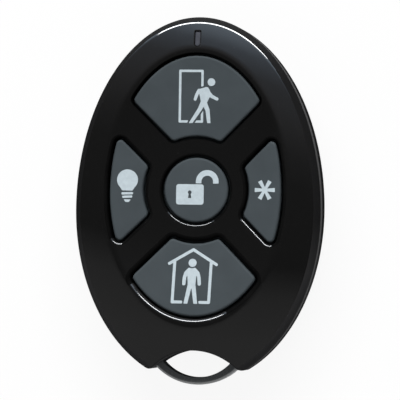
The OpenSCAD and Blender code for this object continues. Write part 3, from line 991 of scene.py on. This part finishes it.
def parting_rings(z, way):
    """Small round at the parting line; way is 1 where the wall comes down to it, -1 where it comes up."""
    rings = []
    for inset, rise in quarter_round(parting_steps):
        rings.append((rim_points(parting_round * inset), z + way * parting_round * rise))
    return rings


def wall_finish(round_oval):
    """Numbers of the front wall's finishes by outline point, with its own one in the notch, coloured lighter
    as painted light in the notch's shade.
    """
    point = np.arange(rim_count)
    in_notch = (point < notch_points) | (point > rim_count - notch_points)
    return np.where(in_notch, PAINTED_LIGHT_NOTCH, round_oval)


def polish_limits():
    """Steepest polished slope of the rim by outline point: steeper at the status light end."""
    limits = (side_polish_limit, end_polish_limit)
    return np.interp(rim_loops[0, :, 1], (polish_low_y, polish_high_y), limits)


def front_shell():
    skin = Skin()
    rings = edge_rings(rim_points, rim_rounds(rim_round, notch_round), face_height, rim_steps)
    rim = skin.loop(*rings[0])
    # The steep rim takes the matt edge finish, which paints light towards both ends of the casing
    edge = skin.chain(rim, rings[1:], finish=MATT, above=polish_limits())
    # The upper wall is coloured lighter as painted light; below wall_low_z the darker matt edge finish paints
    # shade along the parting line
    low_wall = skin.chain(edge, [(rim_points(0), wall_low_z)], finish=wall_finish(PAINTED_LIGHT_WALL))
    # In the notch the wall keeps its lighter finish down to the parting line, painted light in its shade
    parting = skin.chain(low_wall, parting_rings(parting_z, 1), finish=wall_finish(MATT))
    inside = rim_points(wall)
    cavity = skin.chain(parting, [(inside, parting_z), (inside, panel_z)], finish=MATT)

    face_loops, under_loops = [rim], [cavity]
    openings = [(*slot_outline(0, slot_corner_r), slot_round, MATT)]
    for key in KEYS:
        loop, out = key_outlines[key]
        openings.append((loop + out * key_gap, out, OPENING_ROUNDS[key], PAINTED_SHADE_OPENING))
    for loop, out, round_r, unlit_finish in openings:
        lit = (out[:, 0] < polished_right) & (out[:, 1] < polished_low) & (round_r > sharp_round)
        rings = loop_rings(loop, out, round_r, face_height)
        top = skin.loop(*rings[0])
        face_loops.append(top)
        # Unpolished places of an opening's round take its unlit finish: near-black painted shade round the
        # keys, the matt edge at the slot
        finish = np.where(lit, MATT, unlit_finish)
        limit = np.where(lit, opening_polish_limit, 0)
        under_loops.append(skin.chain(top, rings[1:] + [(loop, panel_z)], finish, limit))

    for centre in BOSSES:
        boss, bore = circle_loop(centre, boss_d / 2), circle_loop(centre, thread_bore_d / 2)
        base = skin.loop(boss, panel_z)
        under_loops.append(base)
        end = skin.chain(base, [(boss, parting_z), (bore, parting_z), (bore, thread_end_z)])
        skin.fill([end])
    for centre in POSTS:
        post = circle_loop(centre, post_d / 2, post_circle_points)
        under_loops.append(skin.post(post, panel_z, board_top_z))

    skin.fill(face_loops, face_height, face_step, crease_rows())
    skin.fill(under_loops)
    finishes = ["gloss_shell", "matt_edge", "satin_wall", "notch_wall", "opening_edge"]
    piece = skin.build("front_shell_skin", finishes, "casing", "shell_gloss")
    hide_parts("front_shell")
    return piece


def rear_shell():
    skin = Skin()
    rounds = rim_rounds(rear_round, notch_round)
    rings = flipped(edge_rings(rim_points, rounds, under_height, fine_steps))
    rim = skin.loop(*rings[0])
    # The rear edge takes the matt edge finish too, with its painted light towards both ends
    edge = skin.chain(rim, rings[1:] + parting_rings(parting_z, -1), finish=MATT)
    lip_out, lip_in = rim_points(wall + lip_gap), rim_points(wall + lip_gap + lip_t)
    inner = skin.chain(edge, [
        (lip_out, parting_z),
        (lip_out, parting_z + lip_h),
        (lip_in, parting_z + lip_h),
        (lip_in, np.maximum(rear_inside_height(lip_in), floor_t)),
    ])

    outer_loops, inner_loops = [rim], [inner]
    for centre in BOSSES:
        loop = circle_loop(centre, head_bore_d / 2)
        out = (loop - np.array(centre)) / (head_bore_d / 2)
        rings = flipped(loop_rings(loop, out, screw_hole_round, under_height))
        mouth = skin.loop(*rings[0])
        outer_loops.append(mouth)
        bore = circle_loop(centre, screw_bore_d / 2)
        boss = circle_loop(centre, boss_d / 2)
        hole = [(loop, seat_z), (bore, seat_z), (bore, parting_z)]
        outside = [(boss, parting_z), (boss, rear_inside_height(boss))]
        inner_loops.append(skin.chain(mouth, rings[1:] + hole + outside))
    for centre in POSTS:
        post = circle_loop(centre, post_d / 2, post_circle_points)
        inner_loops.append(skin.post(post, rear_inside_height(post), board_z))

    skin.fill(outer_loops, rear_height, rear_step, rear_rows())
    skin.fill(inner_loops, rear_inside_height, rear_inside_step)
    piece = skin.build("rear_shell_skin", ["satin_shell", "matt_edge"], "casing", "shell_satin")
    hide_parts("rear_shell")
    return piece


def status_light_pipe():
    """Smoked lens, set back in the slot, on the flange that holds it under the face."""
    loop, out = slot_outline(lens_gap, lens_corner_r)
    skin = Skin()
    rings = loop_rings(loop, -out, lens_round, lens_height, coarse_steps)
    top = skin.loop(*rings[0])
    skin.fill([top])
    flange_low = panel_z - pipe_flange_t
    side_x, end_y = light_w / 2 + pipe_flange_w, light_y + light_l / 2
    corners = np.array([[-side_x, pipe_flange_y], [side_x, pipe_flange_y], [side_x, end_y], [-side_x, end_y]])
    shoulder = skin.chain(top, rings[1:] + [(loop, panel_z)])
    rim = skin.loop(corners, panel_z)
    under = skin.chain(rim, [(corners, flange_low)])
    stem = skin.loop(loop, flange_low)
    skin.fill([rim, shoulder])
    skin.fill([under, stem])
    skin.fill([skin.chain(stem, [(loop, pipe_low_z)])])
    piece = skin.build("status_light_pipe_skin", ["light_pipe"], "casing", "light_pipe")
    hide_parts("status_light_pipe")


def key_ring_bail():
    """Curved strap, rounder and paler on its outer side; the pale outer edge is a painted highlight."""
    loop, out = bail_outline()
    faces_out = np.clip(0.5 - out[:, 1] / 2, 0, 1)
    rounds = bail_inner_round + (bail_outer_round - bail_inner_round) * faces_out
    # Outer edge faces take the pale finish, a painted highlight
    edge_finish_with_painted_highlight = np.where(faces_out > 0.5, BAIL_PAINTED_HIGHLIGHT, BAIL_INSIDE)
    skin = slab(loop, out, bail_z, bail_z + bail_h, rounds, edge_finish_with_painted_highlight)
    finishes = ["bail_plastic", "bail_edge", "bail_inside"]
    piece = skin.build("key_ring_bail_skin", finishes, "casing", "bail_plastic")
    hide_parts("key_ring_bail")


# Keys

def key_top(key):
    """Height of a key's top: the dish, set back and slightly swollen in its middle."""
    loop = key_outlines[key][0]
    centre = (loop.min(0) + loop.max(0)) / 2
    half = (loop.max(0) - loop.min(0)) / 2

    def height(xy):
        away = (((xy - centre) / half) ** 2).sum(1)
        return dish_height(xy) - key_recess + key_swell * (1 - away)

    return height


def key_piece(key):
    """A key with its flange under the face and the nub that presses its switch."""
    loop, out = key_outlines[key]
    height = key_top(key)
    skin = Skin()
    rings = loop_rings(loop, -out, key_round, height, fine_steps)
    top = skin.loop(*rings[0])
    flange_top = flange_z + key_flange_t
    flange = loop + out * key_flange_w
    foot = skin.chain(top, rings[1:] + [(loop, flange_top), (flange, flange_top), (flange, flange_z)])
    nub_ring = circle_loop(NUB_AT[key], nub_d / 2)
    nub = skin.loop(nub_ring, flange_z)
    skin.fill([foot, nub])
    skin.fill([skin.chain(nub, [(nub_ring, nub_z)])])
    skin.fill([top], height, key_face_step)
    piece = skin.build(key + "_key_skin", ["key_rubber"], key + "_button", "key_rubber")
    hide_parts(key + "_key")


# Printed signs, in millimetres from the keypad's middle

def person(x, y, head, trunk, arms, legs, sole):
    """A figure whose legs end level at the sole."""
    arms = [stroke(x, y, *arm) for arm in arms]
    legs = [np.maximum(stroke(x, y, *leg), sole - y) for leg in legs]
    return either(disc(x, y, *head), convex(x, y, *trunk), *arms, *legs)


def away_sign(x, y):
    """A figure walking out through a door frame."""
    line, clear = 0.2, 0.28
    head = ((2.45, 17.95), 0.65)
    trunk = ([(0.25, 16.75), (1.75, 17.2), (2.2, 16.7), (2.3, 15.7), (1.55, 14.3), (0.75, 14.3)], 0.25)
    arms = [
        ([(0.35, 16.55), (-0.02, 15.9), (-0.3, 15.1)], 0.29, 0.25),
        ([(1.95, 16.2), (2.5, 15.6), (3.4, 15.15)], 0.33, 0.25),
    ]
    legs = [
        ([(1.0, 14.5), (0.45, 13.4), (-1.1, 11.1)], 0.42, 0.26),
        ([(1.3, 14.4), (1.8, 13.3), (2.03, 11.1)], 0.42, 0.28),
    ]
    figure = person(x, y, head, trunk, arms, legs, sole=11.15)
    door = stroke(x, y, [(-2.9, 11.4), (-2.8, 19.8), (0.95, 19.8), (0.85, 11.4), (-2.9, 11.4)], line)
    return either(figure, np.maximum(door, clear - figure))


def stay_sign(x, y):
    """A house outline with a figure standing in it."""
    line, clear = 0.245, 0.25
    head = ((-0.3, -12.15), 0.68)
    trunk = ([(-1.15, -13.6), (-0.9, -13.05), (0.15, -13.05), (0.45, -13.6), (0.22, -16.4),
              (-0.98, -16.4)], 0.3)
    arms = [
        ([(-0.8, -13.3), (-1.36, -13.85), (-1.6, -14.6), (-1.68, -15.65)], 0.33, 0.28),
        ([(0.05, -13.3), (0.61, -13.85), (0.85, -14.6), (0.93, -15.65)], 0.33, 0.28),
    ]
    legs = [
        ([(-0.7, -16.0), (-1.33, -19.0)], 0.36, 0.32),
        ([(-0.05, -16.0), (0.36, -19.0)], 0.36, 0.32),
    ]
    figure = person(x, y, head, trunk, arms, legs, sole=-18.95)
    roof = stroke(x, y, [(-4.2, -12.3), (-0.2, -9.95), (3.75, -12.4)], line)
    left = stroke(x, y, [(-3.3, -11.8), (-3.55, -18.7), (-2.05, -18.7)], line)
    right = stroke(x, y, [(2.85, -11.9), (2.6, -18.7), (1.05, -18.7)], line)
    return either(figure, np.maximum(either(roof, left, right), clear - figure))


def lights_sign(x, y):
    """A light bulb."""
    middle = -11.5

    def taper(top_w, top_y, low_w, low_y, r):
        corners = [(middle - top_w, top_y), (middle + top_w, top_y), (middle + low_w, low_y),
                   (middle - low_w, low_y)]
        return convex(x, y, corners, r)

    glass = disc(x, y, (middle, 1.55), 1.73)
    neck = taper(1.62, 0.95, 0.85, -0.25, 0.08)
    upper_ring = stroke(x, y, [(middle - 0.78, -0.74), (middle + 0.78, -0.68)], 0.2)
    lower_ring = stroke(x, y, [(middle - 0.66, -1.3), (middle + 0.66, -1.24)], 0.19)
    tip = taper(0.6, -1.72, 0.3, -2.16, 0.1)
    return either(glass, neck, upper_ring, lower_ring, tip)


def disarm_sign(x, y):
    """An open padlock."""
    body = box(x, y, (-3.35, -2.45), (1.3, 0.95), 0.42)
    eye = disc(x, y, (-1.06, -0.4), 0.32)
    slit = convex(x, y, [(-1.2, -0.4), (-0.92, -0.4), (-0.78, -1.36), (-1.34, -1.36)], 0.04)
    bow_x, bow_y = 1.87, 1.42
    bow_r, bow_half_w, bow_leg = 1.45, 0.47, 0.32
    bow = np.abs(np.hypot(x - bow_x, np.maximum(y - bow_y, 0)) - bow_r) - bow_half_w
    bow = np.maximum(bow, bow_y - bow_leg - y)
    return either(np.maximum(body, -either(eye, slit)), bow)


def auxiliary_sign(x, y):
    """A six-armed star, with arms that widen outwards."""
    middle_x, middle_y = 11.7, 0.1
    reach, half_w, flare, corner_r = 1.72, 0.2, 0.09, 0.05
    arms = []
    for turn in np.arange(6) * math.pi / 3:
        along = (x - middle_x) * math.cos(turn) + (y - middle_y) * math.sin(turn)
        across = np.abs((y - middle_y) * math.cos(turn) - (x - middle_x) * math.sin(turn))
        arms.append(rounded_overlap([across - half_w - flare * along, along - reach, -along], corner_r))
    return either(*arms)


SIGNS = {
    "away": away_sign,
    "lights": lights_sign,
    "disarm": disarm_sign,
    "auxiliary": auxiliary_sign,
    "stay": stay_sign,
}


def print_piece(key):
    """Thin printed sign that follows the key's top."""
    height = key_top(key)
    shape = SIGNS[key]
    outline = key_outlines[key][0] - [0, keypad_y]
    skin = Skin()
    tops, bottoms = [], []
    for loop in contours(shape, outline.min(0), outline.max(0), print_grid):
        xy = even_loop(loop, shape, print_step)[0] + [0, keypad_y]
        top = skin.loop(xy, height(xy) + print_rise)
        tops.append(top)
        bottoms.append(skin.chain(top, [(xy, height(xy) - print_sunk)]))
    skin.fill(tops, lambda xy: height(xy) + print_rise, print_face_step)
    skin.fill(bottoms, lambda xy: height(xy) - print_sunk, print_face_step)
    skin.build(key + "_sign", ["key_ink"], key + "_button", "key_print")


cutter = bail_cutter()
for shell in (front_shell(), rear_shell()):
    cut(shell, cutter)
bpy.data.objects.remove(cutter)
key_ring_bail()
status_light_pipe()
for key in KEYS:
    key_piece(key)
    print_piece(key)


# Floor, light and camera

# Room that is seen or mirrored, by direction: from the key ring end at -1 to the light end at 1
ROOM_TINTS = [
    (-0.5, (0.17, 0.17, 0.17)), (-0.3, (0.13, 0.13, 0.13)), (-0.18, (0.048, 0.048, 0.048)),
    (0.1, (0.058, 0.058, 0.058)), (0.2, (0.085, 0.085, 0.087)), (0.3, (0.14, 0.14, 0.145)),
    (0.42, (0.19, 0.2, 0.22)), (0.5, (0.33, 0.38, 0.45)), (0.58, (0.78, 0.93, 1.1)),
]
room_turn = 6.5

# Soft light that the room throws on the object, by the same direction
ROOM_FILL = [
    (-1.0, (0.9, 0.9, 0.9)), (-0.3, (0.46, 0.46, 0.46)),
    (0.2, (0.16, 0.16, 0.16)), (1.0, (0.1, 0.1, 0.1)),
]


def toward(turn, rise):
    """Direction by a turn from +Y towards +X and a rise above the level, in degrees."""
    turn, rise = math.radians(turn), math.radians(rise)
    return Vector((math.sin(turn) * math.cos(rise), math.cos(turn) * math.cos(rise), math.sin(rise)))


def seen_directly(owner):
    """1 for what the camera sees itself, mirrored or through a clear piece, 0 for what lights the object."""
    rays = add_node(owner, "LightPath", {}).outputs
    source = rays["Is Camera Ray"]
    for ray in ("Is Glossy Ray", "Is Transmission Ray"):
        source = add_node(owner, "Math", {0: source, 1: rays[ray]}, "MAXIMUM").outputs[0]
    return source


def stage_finish():
    """Pale floor that stays white to the camera and in reflections, and keeps shadows."""
    color, glow = (0.93, 0.93, 0.93, 1), 0.9
    finish = bpy.data.materials.new("pale_floor")
    finish.use_nodes = True
    finish.node_tree.nodes.clear()
    paint = add_node(finish, "BsdfDiffuse", {"Color": color})
    light = add_node(finish, "Emission", {"Color": (1, 1, 1, 1), "Strength": 1})
    share = add_node(finish, "Math", {0: seen_directly(finish), 1: glow}, "MULTIPLY")
    mix = add_node(finish, "MixShader", {"Fac": share.outputs[0], 1: paint.outputs[0], 2: light.outputs[0]})
    add_node(finish, "OutputMaterial", {"Surface": mix.outputs[0]})
    return finish


def floor():
    """Round floor that curves up into a low backdrop all round."""
    radius, backdrop_h, turns = 2000, 300, 96
    bend_r, bend_steps = 200, 8
    profile = [(200, 0), (1200, 0)]
    for rise, inset in quarter_round(bend_steps)[1:]:
        profile.append((radius - bend_r * inset, bend_r * rise))
    profile.append((radius, backdrop_h))
    rings = [(circle_loop((0, 0), reach, turns), z) for reach, z in profile]
    skin = Skin()
    middle = skin.loop(*rings[0])
    skin.chain(middle, rings[1:])
    skin.fill([middle])
    ground = skin.as_object("floor")
    ground.data.materials.append(stage_finish())


def softbox():
    """Area lamp that faces the object, in degrees, metres and watts."""
    turn, rise, distance = 0.3, 38, 1.2
    width, height, power = 1.46, 0.2, 19.5
    back = toward(turn, rise)
    lamp = bpy.data.lights.new("top_softbox", "AREA")
    lamp.shape = "RECTANGLE"
    lamp.size, lamp.size_y = width, height
    lamp.energy = power
    holder = add_to_scene("top_softbox", lamp)
    holder.location = back * distance
    holder.rotation_euler = back.to_track_quat("Z", "Y").to_euler()


def room_light():
    """Dim room, brighter and bluer towards the status light end."""
    world = bpy.data.worlds.new("room")
    bpy.context.scene.world = world
    world.use_nodes = True
    light_end = toward(room_turn, 0)
    view = add_node(world, "TexCoord", {}).outputs["Generated"]
    along = add_node(world, "VectorMath", {0: view, 1: light_end}, "DOT_PRODUCT").outputs["Value"]
    across = spread(world, along, 0, 1, -1, 1)
    mix = add_node(world, "Mix", {"Factor": seen_directly(world)})
    mix.data_type = "RGBA"
    colors = [socket for socket in mix.inputs if socket.type == "RGBA"]
    for socket, tints in zip(colors, (ROOM_FILL, ROOM_TINTS)):
        stops = [((way + 1) / 2, color) for way, color in tints]
        world.node_tree.links.new(ramp(world, across, stops), socket)
    mixed = next(socket for socket in mix.outputs if socket.type == "RGBA")
    connect(world, world.node_tree.nodes["Background"], {"Color": mixed, "Strength": 1})


def camera():
    """Camera of the photograph: nearly square on, from slightly to the right."""
    tilt_right, tilt_up = 9.7, -1.5
    roll = math.radians(0.96)
    distance = 500.0
    image_px, sensor, lens = 400, 36.0, 270.0
    near_clip, far_clip = 0.01, 20
    target = Vector((0, keypad_y, 11.0))
    target_px = (195.58, 189.48)
    middle_px = (image_px - 1) / 2
    back = toward(tilt_right, tilt_up).xzy
    side = Vector((0, 1, 0)).cross(back).normalized()
    up = back.cross(side)
    right = math.cos(roll) * side + math.sin(roll) * up
    up = math.cos(roll) * up - math.sin(roll) * side
    mm_per_px = distance * sensor / lens / image_px
    shift = right * (middle_px - target_px[0]) - up * (middle_px - target_px[1])
    aim = target + shift * mm_per_px
    data = bpy.data.cameras.new("camera")
    data.lens = lens
    data.sensor_width = sensor
    data.clip_start, data.clip_end = near_clip, far_clip
    holder = add_to_scene("camera", data)
    axes = Matrix((right, up, back)).transposed().to_4x4()
    holder.matrix_world = Matrix.Translation((aim + back * distance) * MM) @ axes
    bpy.context.scene.camera = holder


floor()
softbox()
room_light()
camera()
bpy.context.scene.view_settings.view_transform = "Standard"
